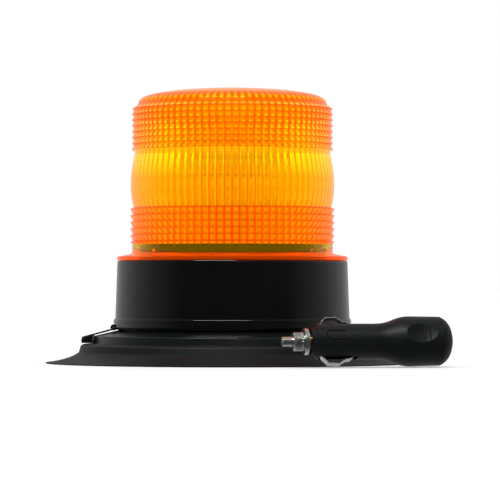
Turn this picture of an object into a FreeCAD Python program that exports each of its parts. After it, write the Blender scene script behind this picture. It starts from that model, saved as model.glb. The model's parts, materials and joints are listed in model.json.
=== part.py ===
import FreeCAD, Part
import math
import os

# LED warning beacon on a magnetic suction mount, with its lighter plug. Millimetres.
# Origin: centre of the magnet face, on the surface the beacon stands on. +Z up, front is -Y.

V = FreeCAD.Vector
X_AXIS = V(1, 0, 0)
Y_AXIS = V(0, 1, 0)
Z_AXIS = V(0, 0, 1)

# Magnetic mount
lip_r = 113.6            # outer edge of the rubber skirt
lip_h = 0.6
skirt_wall_r = 93.5      # where the upright rim turns into the flare
skirt_wall_z = 6.9
shoulder_z = 12.0        # rounded shoulder of the skirt, against the ring
pad_h = 0.8              # rubber face pad under the magnet
pad_r = 77.0
pot_r = 77.5
pot_wall = 2.2
pot_top_z = 13.2
pot_flange_r = 84.0      # clamps the skirt against the ring
pot_flange_z = 4.1
rubber_z = 5.9           # underside of the skirt's clamped edge
ring_bottom_z = 8.4
ring_r = 85.2
ring_top_r = 84.3
ring_top_z = 16.8
ring_wall = 2.8
ring_plate = 2.6
cone_r = 70.6            # the ring's top rises gently towards the drum's neck
cone_z = 19.8
magnet_r = 75.0
magnet_hole_r = 34.0
pole_r = 32.0
bolt_r = 4.0
bolt_head_r = 8.0

# Drum housing
neck_r = 70.0            # recessed neck under the foot band
neck_bottom_r = 69.0
foot_z = 20.6
foot_r = 73.0
foot_top_z = 26.3
drum_bottom_r = 71.4
drum_bottom_z = 27.9
drum_top_r = 70.2
deck_z = 62.6
deck_thick = 3.2
drum_wall = 2.6
cover_r = 65.7
cover_thick = 2.5
collar_r = 57.9          # collar that the lens turns on
collar_wall = 3.2
collar_top_z = 72.1
gasket_r = 64.2
gasket_section_r = 1.0
column_circle_r = 61.0
column_r = 4.0
cover_screw_r = 1.45
well_r = 14.0            # hole for the LED wires

# Lens
lens_base_z = 62.8
flange_r = 70.3
flange_edge_z = 64.9
band_r = 61.1
lens_bore_r = 58.3
lower_tip_r = 62.3
lower_valley_r = 60.7
lower_first_tip_z = 74.1
lower_pitch = 4.0
lower_rings = 6
barrel_top_z = 128.1
upper_tip_r = 61.3
upper_valley_r = 60.0
upper_first_tip_z = 129.8
upper_pitch = 3.56
upper_rings = 8
crown_z = 167.1
lens_wall = 2.6

# Bayonet between lens and collar
lug_count = 3
lug_first_deg = 90.0
lug_half_deg = 6.0
lug_z = 66.5
lug_h = 2.4
lug_depth = 2.0
lens_turn_deg = 20.0
bayonet_gap = 0.3
bayonet_gap_deg = 1.0

# LED tower
tower_flange_r = 50.0
tower_r = 23.4
tower_shoulder_z = 113.0
led_post_r = 19.2
led_post_top_z = 128.5
tower_bore_r = 15.0
board_thick = 0.8
led_rows_z = (118.3, 123.8)
leds_per_row = 18
tower_top_z = 144.5
tower_screw_circle_r = 42.0
tower_screw_r = 1.45

# Driver board
board_r = 56.0
board_z = 46.0
board_h = 1.6
post_circle_r = 45.0
post_r = 3.2

# Side clips
clip_half_width = 12.9
strap_thick = 1.05
strap_slope_deg = 15.3
eye_x = 71.9
eye_z = 21.9
eye_bore_r = 0.68
eye_r = 1.5
pin_r = 0.6
toe_inner_r = 85.6
toe_outer_x = 91.6
toe_bottom_z = 12.4
strap_end_x = 91.2
notch_x = 70.1
notch_top_z = 24.4
ear_thick = 1.8

# Cable gland, on the back of the drum
gland_z = 44.0
gland_face_y = 72.5
gland_pad_r = 13.0
gland_inner_y = 64.5
gland_thread_r = 7.8
gland_hex = 20.0
cord_bore_r = 3.1
gland_bush_length = 8.8

# Lighter plug: its own X runs from the tip to the back
plug_yaw_deg = 13.0
plug_roll_deg = -22.0
plug_tip = V(28.2, -120.5, 14.9)
body_r = 10.35
head_r = 14.5
head_back_r = 14.2
body_start = 17.3
chamfer_end = 20.9
flare_start = 55.8
head_start = 77.0
head_end = 94.2
plug_length = 101.0
plug_bore_r = 7.6
head_bore_r = 11.3
tip_r = 2.9
tip_shoulder_r = 3.55
cap_start = 7.0
cap_end = 13.3
cap_r = 5.5
cap_bore_r = 4.4
nose_thread_r = 4.3
nose_bore_r = 3.75
nose_collar_end = 15.7
nose_collar_r = 7.75
fuse_start = 10.2
fuse_length = 32.0
fuse_r = 3.15
fuse_cap_length = 6.0
spring_start = 45.4
spring_end = 53.6
spring_turns = 6
contact_half_width = 2.2
contact_thick = 0.6
contact_bead = V(22.6, 0, 8.2)
contact_bead_r = 0.8
plug_screw_s = 68.0
plug_screw_z = 6.6
plug_screw_r = 1.2
plug_bush_r = 4.4
plug_cord_r = 2.8


def bent(poles):
    bezier = Part.BezierCurve()
    bezier.setPoles(poles)
    return bezier.toShape()


def turned(start, *steps):
    """Solid of revolution about Z. A step is (end), (middle, end) for an arc, or (pole, pole, end)."""
    edges = []
    here = V(start[0], 0, start[1])
    for step in steps:
        points = [V(p[0], 0, p[1]) for p in step]
        if len(points) == 1:
            edges.append(Part.makeLine(here, points[0]))
        elif len(points) == 2:
            edges.append(Part.Arc(here, points[0], points[1]).toShape())
        else:
            edges.append(bent([here] + points))
        here = points[-1]
    first = V(start[0], 0, start[1])
    if here.distanceToPoint(first) > 1e-6:
        edges.append(Part.makeLine(here, first))
    face = Part.Face(Part.Wire(edges))
    return face.revolve(V(0, 0, 0), Z_AXIS, 360)


def curve(*poles):
    """Bezier edge in the XZ plane."""
    return bent([V(x, 0, z) for x, z in poles])


def line(a, b):
    return Part.makeLine(V(a[0], 0, a[1]), V(b[0], 0, b[1]))


def spun(edges):
    return Part.Face(Part.Wire(edges)).revolve(V(0, 0, 0), Z_AXIS, 360)


def disc(r, z0, z1, x=0.0, y=0.0):
    return Part.makeCylinder(r, z1 - z0, V(x, y, z0))


def tube(r, bore, z0, z1, x=0.0, y=0.0):
    return disc(r, z0, z1, x, y).cut(disc(bore, z0 - 1, z1 + 1, x, y))


def block(x0, x1, y0, y1, z0, z1):
    return Part.makeBox(x1 - x0, y1 - y0, z1 - z0, V(x0, y0, z0))


def polar(r, degrees):
    angle = math.radians(degrees)
    return r * math.cos(angle), r * math.sin(angle)


def turned_about_z(shape, degrees):
    copy = shape.copy()
    copy.rotate(V(0, 0, 0), Z_AXIS, degrees)
    return copy


def around(shape, count, first_deg=0.0):
    """Copies of a shape, evenly spaced about Z."""
    return [turned_about_z(shape, first_deg + 360.0 * i / count) for i in range(count)]


def fused(shapes):
    return shapes[0].multiFuse(shapes[1:]).removeSplitter()


def group(shapes):
    return Part.makeCompound(shapes)


def hexagon(across_flats, z0, z1):
    corner = across_flats / math.sqrt(3.0)
    points = [V(*polar(corner, 60.0 * i), z0) for i in range(7)]
    return Part.Face(Part.makePolygon(points)).extrude(V(0, 0, z1 - z0))


def screw(r, z_tip, z_seat, head_r, head_h, x=0.0, y=0.0):
    """Pan head screw along Z whose head is below its shank when head_h is negative."""
    shank = disc(r, min(z_tip, z_seat), max(z_tip, z_seat), x, y)
    head = disc(head_r, min(z_seat, z_seat + head_h), max(z_seat, z_seat + head_h), x, y)
    socket_floor = z_seat + 0.45 * head_h
    socket = disc(0.45 * head_r, min(socket_floor, z_seat + head_h), max(socket_floor, z_seat + head_h), x, y)
    return shank.fuse(head).removeSplitter().cut(socket)


# ---- magnetic mount

def suction_cup():
    inner_r = pot_r + 0.5
    edges = [
        line((inner_r, rubber_z), (inner_r, ring_bottom_z)),
        line((inner_r, ring_bottom_z), (ring_r, ring_bottom_z)),
        line((ring_r, ring_bottom_z), (ring_r, shoulder_z)),
        line((ring_r, shoulder_z), (89.6, shoulder_z - 0.2)),
        curve((89.6, shoulder_z - 0.2), (92.6, 11.6), (92.8, 9.4)),
        line((92.8, 9.4), (skirt_wall_r, skirt_wall_z)),
        curve((skirt_wall_r, skirt_wall_z), (99.2, 2.3), (lip_r, lip_h)),
        line((lip_r, lip_h), (lip_r, 0)),
        line((lip_r, 0), (110.5, 0)),
        curve((110.5, 0), (97.5, 0.7), (90.5, 4.6)),
        line((90.5, 4.6), (pot_flange_r + 0.8, rubber_z)),
        line((pot_flange_r + 0.8, rubber_z), (inner_r, rubber_z)),
    ]
    return spun(edges)


def mount_ring():
    plate_z = ring_top_z - ring_plate
    inner = ring_r - ring_wall
    return turned((bolt_r + 0.2, pot_top_z), [(12.0, pot_top_z)], [(12.0, plate_z)], [(inner, plate_z)],
                  [(inner, ring_bottom_z)], [(ring_r, ring_bottom_z)], [(ring_r, shoulder_z)],
                  [(ring_top_r, ring_top_z - 1.0)],
                  [(ring_top_r - 0.3, ring_top_z - 0.3), (ring_top_r - 1.0, ring_top_z)],
                  [(cone_r, cone_z)], [(cone_r, ring_top_z)], [(bolt_r + 0.2, ring_top_z)])


def magnet_pot():
    plate_z = pot_top_z - pot_wall
    pan = tube(pot_r, pot_r - pot_wall, pad_h, pot_top_z)
    plate = tube(pot_r, bolt_r + 0.2, plate_z, pot_top_z)
    flange = tube(pot_flange_r, pot_r - 1.0, pot_flange_z, rubber_z)
    return fused([pan, plate, flange])


def magnet_ring():
    return tube(magnet_r, magnet_hole_r, pad_h, pot_top_z - pot_wall)


def pole_piece():
    top_z = pot_top_z - pot_wall
    blank = disc(pole_r, pad_h, top_z)
    head_room = Part.makeCone(bolt_head_r + 0.1, bolt_r + 0.1, 4.0, V(0, 0, pad_h + 0.4))
    mouth = disc(bolt_head_r + 0.1, pad_h - 1, pad_h + 0.4)
    return blank.cut(disc(bolt_r + 0.1, pad_h, top_z + 1)).cut(head_room).cut(mouth)


def face_pad():
    return disc(pad_r, 0, pad_h)


def centre_bolt():
    head = Part.makeCone(bolt_head_r, bolt_r, 4.0, V(0, 0, pad_h + 0.4))
    shank = disc(bolt_r, pad_h + 4.4, 29.0)
    return head.fuse(shank).removeSplitter().cut(hexagon(5.0, pad_h, pad_h + 2.9))


def centre_nut():
    washer_z = ring_top_z + cover_thick
    washer = tube(8.5, bolt_r + 0.1, washer_z, washer_z + 1.6)
    nut = hexagon(13.0, washer_z + 1.7, washer_z + 8.2).cut(disc(bolt_r + 0.05, washer_z, washer_z + 9))
    return group([washer, nut])


# ---- drum housing

def drum_shell():
    cut_z = deck_z - deck_thick
    top_in = drum_top_r - drum_wall
    collar_in = collar_r - collar_wall
    groove_in = gasket_r - 1.3
    groove_out = gasket_r + 1.3
    groove_z = deck_z - 2.0
    return turned((cover_r + 0.3, ring_top_z), [(neck_bottom_r, ring_top_z)], [(neck_r, foot_z)],
                  [(foot_r - 1.4, foot_z)], [(foot_r - 0.4, foot_z + 0.5), (foot_r, foot_z + 1.6)],
                  [(foot_r - 0.7, foot_top_z)],
                  [(foot_r - 0.95, foot_top_z + 0.55), (foot_r - 1.4, foot_top_z + 0.8)],
                  [(drum_bottom_r, drum_bottom_z)], [(drum_top_r, deck_z - 1.2)],
                  [(drum_top_r - 0.35, deck_z - 0.35), (drum_top_r - 1.2, deck_z)],
                  [(groove_out, deck_z)], [(groove_out, groove_z)], [(groove_in, groove_z)],
                  [(groove_in, deck_z)], [(collar_r, deck_z)], [(collar_r, collar_top_z - 0.5)],
                  [(collar_r - 0.5, collar_top_z)], [(collar_in, collar_top_z)], [(collar_in, deck_z)],
                  [(well_r, deck_z)], [(well_r, cut_z)], [(top_in, cut_z)],
                  [(drum_bottom_r - drum_wall, 31.0)], [(cover_r + 0.3, 28.0)])


def sector(r0, r1, z0, z1, from_deg, to_deg):
    piece = tube(r1, r0, z0, z1)
    wedge = Part.makeCylinder(r1 + 1, z1 - z0, V(0, 0, z0), Z_AXIS, to_deg - from_deg)
    return piece.common(turned_about_z(wedge, from_deg))


def bayonet_cuts():
    """Channels in the collar that the lens lugs enter from above and turn along."""
    floor_r = collar_r - lug_depth + 0.1
    low = -lug_half_deg - bayonet_gap_deg
    high = lens_turn_deg + lug_half_deg + bayonet_gap_deg
    channel = sector(floor_r, collar_r + 1, lug_z - bayonet_gap, lug_z + lug_h + bayonet_gap, low, high)
    entry_low = lens_turn_deg - lug_half_deg - bayonet_gap_deg
    entry = sector(floor_r, collar_r + 1, lug_z, collar_top_z + 1, entry_low, high)
    return around(channel, lug_count, lug_first_deg) + around(entry, lug_count, lug_first_deg)


def clip_seat():
    """Notch in the foot band for the rolled eye, and the two ears that hold its pin."""
    half = clip_half_width + bayonet_gap
    notch = block(notch_x, foot_r + 5, -half, half, foot_z - 1, notch_top_z)
    ear = Part.makeCylinder(eye_r + 0.4, ear_thick, V(eye_x, half, eye_z), Y_AXIS)
    web = block(neck_r - 1.5, eye_x, half, half + ear_thick, foot_z, eye_z + eye_r + 0.4)
    ears = [ear.fuse(web)]
    ears.append(ears[0].mirror(V(0, 0, 0), Y_AXIS))
    bore = Part.makeCylinder(pin_r + 0.03, 2 * (half + ear_thick) + 2, V(eye_x, -half - ear_thick - 1, eye_z), Y_AXIS)
    return notch, ears, bore


def base_housing():
    boss_top_z = deck_z - deck_thick + 0.6
    columns = []
    column_bores = []
    for i in range(4):
        x, y = polar(column_circle_r, 45.0 + 90.0 * i)
        columns.append(disc(column_r, ring_top_z + cover_thick, boss_top_z, x, y))
        column_bores.append(disc(cover_screw_r + 0.05, ring_top_z, ring_top_z + 18, x, y))
    posts = []
    post_bores = []
    for i in range(4):
        x, y = polar(post_circle_r, 90.0 * i)
        posts.append(disc(post_r, board_z + board_h, boss_top_z, x, y))
        post_bores.append(disc(1.3, board_z, board_z + 10, x, y))
    tower_bosses = []
    tower_bores = []
    for i in range(3):
        x, y = polar(tower_screw_circle_r, 30.0 + 120.0 * i)
        tower_bosses.append(disc(4.2, deck_z - deck_thick - 5, boss_top_z, x, y))
        tower_bores.append(disc(tower_screw_r + 0.05, deck_z - deck_thick - 3, deck_z + 1, x, y))
    pad = Part.makeCylinder(gland_pad_r, gland_face_y - gland_inner_y, V(0, gland_inner_y, gland_z), Y_AXIS)
    gland_hole = Part.makeCylinder(gland_thread_r + 0.1, 20, V(0, gland_inner_y - 5, gland_z), Y_AXIS)
    notch, ears, pin_bore = clip_seat()
    shell = drum_shell().cut(group([notch, turned_about_z(notch, 180)]))
    solids = [shell, pad] + columns + posts + tower_bosses
    solids += ears + [turned_about_z(ear, 180) for ear in ears]
    cuts = column_bores + post_bores + tower_bores + bayonet_cuts()
    cuts += [gland_hole, pin_bore, turned_about_z(pin_bore, 180)]
    return fused(solids).cut(cuts)


def base_cover():
    top_z = ring_top_z + cover_thick
    plate = disc(cover_r, ring_top_z, top_z).cut(disc(bolt_r + 0.2, ring_top_z - 1, top_z + 1))
    for i in range(4):
        x, y = polar(column_circle_r, 45.0 + 90.0 * i)
        plate = plate.cut(disc(cover_screw_r + 0.1, ring_top_z - 1, top_z + 1, x, y))
        plate = plate.cut(disc(3.1, ring_top_z - 1, ring_top_z + 1.4, x, y))
    return plate


def cover_screws():
    screws = []
    for i in range(4):
        x, y = polar(column_circle_r, 45.0 + 90.0 * i)
        screws.append(screw(cover_screw_r, ring_top_z + 16, ring_top_z + 1.4, 2.9, -1.3, x, y))
    return group(screws)


def lens_gasket():
    return Part.makeTorus(gasket_r, gasket_section_r, V(0, 0, deck_z - 0.9))


def clip_pins():
    half = clip_half_width + bayonet_gap + ear_thick
    pin = Part.makeCylinder(pin_r, 2 * half, V(eye_x, -half, eye_z), Y_AXIS)
    return group([pin, turned_about_z(pin, 180)])


# ---- lens

def lens():
    inner_top = 157.0
    steps = [[(flange_r, lens_base_z)], [(flange_r, flange_edge_z)], [(band_r + 1.5, flange_edge_z + 1.6)],
             [(band_r + 0.4, flange_edge_z + 2.0), (band_r, flange_edge_z + 3.0)], [(band_r, 72.2)]]
    for i in range(lower_rings):
        tip_z = lower_first_tip_z + lower_pitch * i
        steps += [[(lower_tip_r, tip_z)], [(lower_valley_r, tip_z)]]
    barrel_z = lower_first_tip_z + lower_pitch * (lower_rings - 1) + 0.8
    steps += [[(60.4, barrel_z)], [(62.05, 110.5), (59.5, barrel_top_z)], [(upper_valley_r, upper_first_tip_z)]]
    for i in range(upper_rings):
        tip_z = upper_first_tip_z + upper_pitch * i
        steps += [[(upper_tip_r, tip_z)]]
        if i < upper_rings - 1:
            steps += [[(upper_valley_r, tip_z + upper_pitch)]]
    steps += [[(58.1, inner_top)], [(57.4, 158.4)], [(54.9, 161.7), (47.5, 164.1)],
              [(35.0, crown_z - 0.5), (18.0, crown_z), (0, crown_z)], [(0, crown_z - lens_wall)],
              [(18.0, crown_z - lens_wall), (35.0, crown_z - lens_wall - 0.7), (46.8, 161.6)],
              [(53.0, 159.6), (54.9, 156.6)], [(57.2, 154.0)], [(57.2, barrel_top_z)],
              [(59.35, 110.5), (lens_bore_r, 95.0)], [(lens_bore_r, lens_base_z)]]
    shell = turned((lens_bore_r, lens_base_z), *steps)
    lug = sector(lens_bore_r - lug_depth, lens_bore_r + 1, lug_z, lug_z + lug_h, -lug_half_deg, lug_half_deg)
    return fused([shell] + around(lug, lug_count, lug_first_deg))


# ---- LED tower

def led_tower():
    edges = [
        line((tower_bore_r, deck_z), (tower_flange_r, deck_z)),
        line((tower_flange_r, deck_z), (tower_flange_r, deck_z + 2.0)),
        curve((tower_flange_r, deck_z + 2.0), (25.5, deck_z + 5.0), (24.4, 90.0)),
        line((24.4, 90.0), (tower_r, tower_shoulder_z)),
        line((tower_r, tower_shoulder_z), (led_post_r, tower_shoulder_z + 1.2)),
        line((led_post_r, tower_shoulder_z + 1.2), (led_post_r, led_post_top_z)),
        line((led_post_r, led_post_top_z), (tower_bore_r, led_post_top_z)),
        line((tower_bore_r, led_post_top_z), (tower_bore_r, deck_z)),
    ]
    tower = spun(edges)
    for i in range(3):
        x, y = polar(tower_screw_circle_r, 30.0 + 120.0 * i)
        tower = tower.cut(disc(tower_screw_r + 0.1, deck_z - 1, deck_z + 30, x, y))
        tower = tower.cut(disc(3.2, deck_z + 1.4, deck_z + 30, x, y))
    return tower


def tower_cap():
    edges = [
        line((0, led_post_top_z), (20.0, led_post_top_z)),
        line((20.0, led_post_top_z), (18.6, led_post_top_z + 1.4)),
        curve((18.6, led_post_top_z + 1.4), (15.5, tower_top_z - 1.0), (0, tower_top_z)),
        line((0, tower_top_z), (0, led_post_top_z)),
    ]
    return spun(edges)


def led_board():
    return tube(led_post_r + board_thick, led_post_r, tower_shoulder_z + 1.4, led_post_top_z - 0.3)


def leds():
    face_r = led_post_r + board_thick
    shapes = []
    for z in led_rows_z:
        package = block(face_r, face_r + 0.7, -1.5, 1.5, z - 1.2, z + 1.2)
        dome = Part.makeSphere(1.0, V(face_r + 0.4, 0, z))
        lamp = package.fuse(dome.common(block(face_r + 0.4, face_r + 3, -2, 2, z - 2, z + 2)))
        shapes += around(lamp.removeSplitter(), leds_per_row, 360.0 / leds_per_row / 2)
    return group(shapes)


def tower_screws():
    screws = []
    for i in range(3):
        x, y = polar(tower_screw_circle_r, 30.0 + 120.0 * i)
        screws.append(screw(tower_screw_r, deck_z - 5, deck_z + 1.4, 2.9, 2.0, x, y))
    return group(screws)


def led_wires():
    return group([disc(0.8, board_z + board_h + 0.1, led_post_top_z - 12, x, 0) for x in (-3.0, 3.0)])


# ---- driver board

def driver_board():
    board = disc(board_r, board_z, board_z + board_h)
    for i in range(4):
        x, y = polar(post_circle_r, 90.0 * i)
        board = board.cut(disc(1.4, board_z - 1, board_z + board_h + 1, x, y))
    return board


def board_screws():
    screws = []
    for i in range(4):
        x, y = polar(post_circle_r, 90.0 * i)
        screws.append(screw(1.2, board_z + 9, board_z, 2.6, -1.8, x, y))
    return group(screws)


def capacitors():
    return group([disc(5.0, board_z - 14, board_z, x, -24) for x in (-14.0, 0.0, 14.0)])


def inductor():
    core = tube(9.0, 4.0, board_z - 7, board_z, -24, 12)
    return core.makeFillet(1.6, core.Edges)


def driver_chips():
    places = ((24, 6), (24, 20), (6, 14))
    return group([block(x - 3, x + 3, y - 2.5, y + 2.5, board_z - 1.6, board_z) for x, y in places])


def terminal_block():
    body = block(-8, 8, 30, 39, board_z - 10, board_z)
    for x in (-4.0, 4.0):
        entry = Part.makeCylinder(1.6, 6, V(x, 34, board_z - 6.5), Y_AXIS)
        body = body.cut(entry)
    return body


# ---- side clips

def strap_z(x):
    """Height of the strap's middle line."""
    return 20.7 - math.tan(math.radians(strap_slope_deg)) * (x - 72.9)


def across_clip(points):
    """Solid as wide as a clip, from an outline in the XZ plane."""
    outline = Part.makePolygon([V(x, -clip_half_width, z) for x, z in points + points[:1]])
    return Part.Face(outline).extrude(V(0, 2 * clip_half_width, 0))


def clip_strap():
    half = 0.5 * strap_thick / math.cos(math.radians(strap_slope_deg))
    strip = across_clip([(eye_x, strap_z(eye_x) - half), (strap_end_x, strap_z(strap_end_x) - half),
                         (strap_end_x, strap_z(strap_end_x) + half), (eye_x, strap_z(eye_x) + half)])
    eye = Part.makeCylinder(eye_r, 2 * clip_half_width, V(eye_x, -clip_half_width, eye_z), Y_AXIS)
    bore = Part.makeCylinder(eye_bore_r, 2 * clip_half_width + 2, V(eye_x, -clip_half_width - 1, eye_z), Y_AXIS)
    return eye.fuse(strip).removeSplitter().cut(bore)


def clip_toe():
    half = 0.5 * strap_thick / math.cos(math.radians(strap_slope_deg))
    start_x = toe_inner_r - 3
    toe = across_clip([(start_x, toe_bottom_z), (toe_outer_x - 0.6, toe_bottom_z), (toe_outer_x, toe_bottom_z + 0.6),
                       (toe_outer_x - 0.2, strap_z(toe_outer_x) - half), (start_x, strap_z(start_x) - half)])
    return toe.cut(disc(toe_inner_r, 0, 30))


# ---- cable gland

def along_y(shape, y):
    """Takes a shape made along Z from z = 0 to the gland's axis, with that end at y."""
    copy = shape.copy()
    copy.rotate(V(0, 0, 0), X_AXIS, -90)
    copy.translate(V(0, y, gland_z))
    return copy


def gland_body():
    flange = hexagon(gland_hex, 0, 4.5)
    inward = disc(gland_thread_r, -11.0, 0.5)
    outward = disc(7.4, 4.0, 11.5)
    solid = fused([flange, inward, outward]).cut(disc(6.1, -12, 12))
    return along_y(solid, gland_face_y)


def gland_locknut():
    nut = hexagon(gland_hex, 0, 4.2).cut(disc(gland_thread_r + 0.05, -1, 6))
    return along_y(nut, gland_inner_y - 4.2)


def gland_nut():
    skirt = turned((7.45, 0), [(10.6, 0)], [(10.6, 7.0)], [(9.6, 9.8), (7.0, 11.2)], [(4.6, 11.2)],
                   [(4.6, 9.6)], [(6.3, 7.4)], [(7.45, 7.4)])
    grooves = [Part.makeCylinder(0.7, 7.0, V(*polar(11.0, 30.0 * i), -0.5)) for i in range(12)]
    return along_y(skirt.cut(grooves), gland_face_y + 4.7)


def gland_bush():
    return along_y(tube(6.05, cord_bore_r, 0, gland_bush_length), gland_face_y + 3.0)


# ---- lighter plug, in its own frame: X from tip to back, Z up before the roll

def placed(shape):
    """Takes a plug piece from the plug's own frame to where the plug lies."""
    copy = shape.copy()
    copy.rotate(V(0, 0, 0), X_AXIS, plug_roll_deg)
    copy.rotate(V(0, 0, 0), Z_AXIS, plug_yaw_deg)
    copy.translate(plug_tip)
    return copy


def rod(r, s0, s1, y=0.0, z=0.0):
    return Part.makeCylinder(r, s1 - s0, V(s0, y, z), X_AXIS)


def pipe(r, bore, s0, s1):
    return rod(r, s0, s1).cut(rod(bore, s0 - 1, s1 + 1))


def spun_about_x(edges):
    return Part.Face(Part.Wire(edges)).revolve(V(0, 0, 0), X_AXIS, 360)


def flare(r0, r1, s0, s1):
    """S-shaped edge from radius r0 to r1."""
    middle = 0.5 * (s0 + s1)
    return curve((s0, r0), (middle, r0), (middle, r1), (s1, r1))


def plug_outer():
    edges = [
        line((body_start, 0), (body_start, 7.5)),
        line((body_start, 7.5), (chamfer_end, body_r)),
        line((chamfer_end, body_r), (flare_start, body_r)),
        flare(body_r, head_r, flare_start, head_start),
        line((head_start, head_r), (head_end, head_back_r)),
        Part.Arc(V(head_end, 0, head_back_r), V(99.0, 0, 10.6), V(plug_length, 0, 4.6)).toShape(),
        line((plug_length, 4.6), (plug_length, 0)),
        line((plug_length, 0), (body_start, 0)),
    ]
    return spun_about_x(edges)


def plug_cavity():
    edges = [
        line((chamfer_end, 0), (chamfer_end, plug_bore_r)),
        line((chamfer_end, plug_bore_r), (flare_start, plug_bore_r)),
        flare(plug_bore_r, head_bore_r, flare_start, head_start),
        line((head_start, head_bore_r), (93.0, head_bore_r)),
        line((93.0, head_bore_r), (97.0, 6.5)),
        line((97.0, 6.5), (97.0, 0)),
        line((97.0, 0), (chamfer_end, 0)),
    ]
    return spun_about_x(edges)


def capsule(x0, x1, z, half):
    """Upright capsule prism along Y, for the oblong panel."""
    body = block(x0 + half, x1, -20, 0, z - half, z + half)
    return body.fuse(Part.makeCylinder(half, 20, V(x0 + half, -20, z), Y_AXIS)).removeSplitter()


def plug_body():
    bulkhead = pipe(plug_bore_r + 0.5, 2.5, flare_start - 0.8, flare_start + 1.2)
    bosses = []
    bores = []
    for z in (-plug_screw_z, plug_screw_z):
        boss = Part.makeCylinder(2.4, 24, V(plug_screw_s, -12, z), Y_AXIS)
        bosses.append(boss.common(plug_outer()))
        bores.append(Part.makeCylinder(plug_screw_r + 0.05, 13, V(plug_screw_s, -7.0, z), Y_AXIS))
        bores.append(Part.makeCylinder(2.2, 12, V(plug_screw_s, 6.0, z), Y_AXIS))
    body = fused([plug_outer().cut(plug_cavity()), bulkhead] + bosses)
    slots = block(21.4, 44.5, -2.6, 2.6, -15, 15).cut(block(21, 45, -3, 3, -5.5, 5.5))
    cuts = bores + [slots, rod(nose_thread_r + 0.05, 15, 25), rod(plug_bush_r + 0.05, 96, 103)]
    return body.cut(cuts)


def plug_shell_front():
    half = block(0, 110, -20, 0, -20, 20)
    shell = plug_body().common(half)
    groove = capsule(24.6, 36.4, 0, 3.3).cut(capsule(25.6, 40.0, 0, 2.3))
    shell = shell.cut(groove.cut(block(24, 40, -9.4, 0, -5, 5)))
    dish_r = 32.0
    dish = Part.makeSphere(dish_r, V(80.6, -head_r - dish_r + 1.7, 0))
    shell = shell.cut(dish)
    ribs = []
    for s in (82.6, 85.7, 88.8):
        rib = Part.makeCylinder(0.65, 9.0, V(s, -12.95, -4.5), Z_AXIS)
        ribs.append(rib)
    return fused([shell] + ribs)


def plug_shell_rear():
    return plug_body().common(block(0, 110, 0, 20, -20, 20))


def nose_sleeve():
    thread = rod(nose_thread_r, 9.6, 26.0)
    flange = rod(7.0, chamfer_end + 0.05, chamfer_end + 0.45)
    return fused([thread, flange]).cut(rod(nose_bore_r, 9, 27))


def nose_collar():
    ring = pipe(nose_collar_r, cap_bore_r, cap_end + 0.1, nose_collar_end)
    return ring


def nose_cap():
    return rod(cap_r, cap_start, cap_end).cut(rod(tip_r + 0.1, cap_start - 1, cap_start + 3)).cut(
        rod(cap_bore_r, cap_start + 1.6, cap_end + 1))


def contact_pin():
    shaft = rod(tip_r, 0.4, 9.0)
    nose = Part.makeSphere(6.0, V(6.0, 0, 0)).common(rod(tip_r, -1, 4))
    shoulder = rod(tip_shoulder_r, cap_start + 1.8, fuse_start)
    return fused([shaft.common(fused([nose, rod(tip_r, 1.5, 9.0)])), shoulder])


def fuse_glass():
    return rod(fuse_r - 0.35, fuse_start + fuse_cap_length, fuse_start + fuse_length - fuse_cap_length)


def fuse_caps():
    front = rod(fuse_r, fuse_start, fuse_start + fuse_cap_length)
    back = rod(fuse_r, fuse_start + fuse_length - fuse_cap_length, fuse_start + fuse_length)
    return group([front, back])


def pin_spring():
    """Drawn at its pressed length, as closed rings a wire's thickness apart."""
    pitch = (spring_end - spring_start - 0.8) / (spring_turns - 1)
    rings = [Part.makeTorus(2.4, 0.4, V(spring_start + 0.4 + pitch * i, 0, 0), X_AXIS) for i in range(spring_turns)]
    tie = rod(0.25, spring_start + 0.4, spring_end - 0.4, 0, 2.4)
    return fused(rings + [tie])


def spring_seat():
    return rod(4.5, spring_end + 0.1, flare_start - 0.9)


def plug_screws():
    screws = []
    for z in (-plug_screw_z, plug_screw_z):
        shank = Part.makeCylinder(plug_screw_r, 12.5, V(plug_screw_s, -6.4, z), Y_AXIS)
        head = Part.makeCylinder(2.1, 1.8, V(plug_screw_s, 6.05, z), Y_AXIS)
        cross = block(plug_screw_s - 1.3, plug_screw_s + 1.3, 7.1, 8.5, z - 0.25, z + 0.25)
        screws.append(shank.fuse(head).removeSplitter().cut(cross))
    return group(screws)


def plug_bush():
    return fused([rod(plug_bush_r, 95.5, plug_length + 0.6), rod(5.8, 95.0, 96.8)]).cut(rod(plug_cord_r, 94, 103))


def side_contact(side):
    """Bowed strip spring: side is 1 for the top one and -1 for the bottom one."""
    middle = [(22.6, 9.0), (26.9, 13.9), (33.3, 14.15), (37.0, 11.6), (39.8, 11.3), (43.2, 8.6)]
    outer = []
    inner = []
    for i, (s, z) in enumerate(middle):
        before = middle[max(i - 1, 0)]
        after = middle[min(i + 1, len(middle) - 1)]
        slope = math.atan2(after[1] - before[1], after[0] - before[0])
        ds = 0.5 * contact_thick * math.sin(slope)
        dz = 0.5 * contact_thick * math.cos(slope)
        outer.append(V(s - ds, -contact_half_width, side * (z + dz)))
        inner.append(V(s + ds, -contact_half_width, side * (z - dz)))
    loop = outer + inner[::-1] + outer[:1]
    strip = Part.Face(Part.makePolygon(loop)).extrude(V(0, 2 * contact_half_width, 0))
    centre = V(contact_bead.x, -contact_half_width, side * contact_bead.z)
    bead = Part.makeCylinder(contact_bead_r, 2 * contact_half_width, centre, Y_AXIS)
    return strip.fuse(bead).removeSplitter()


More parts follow.
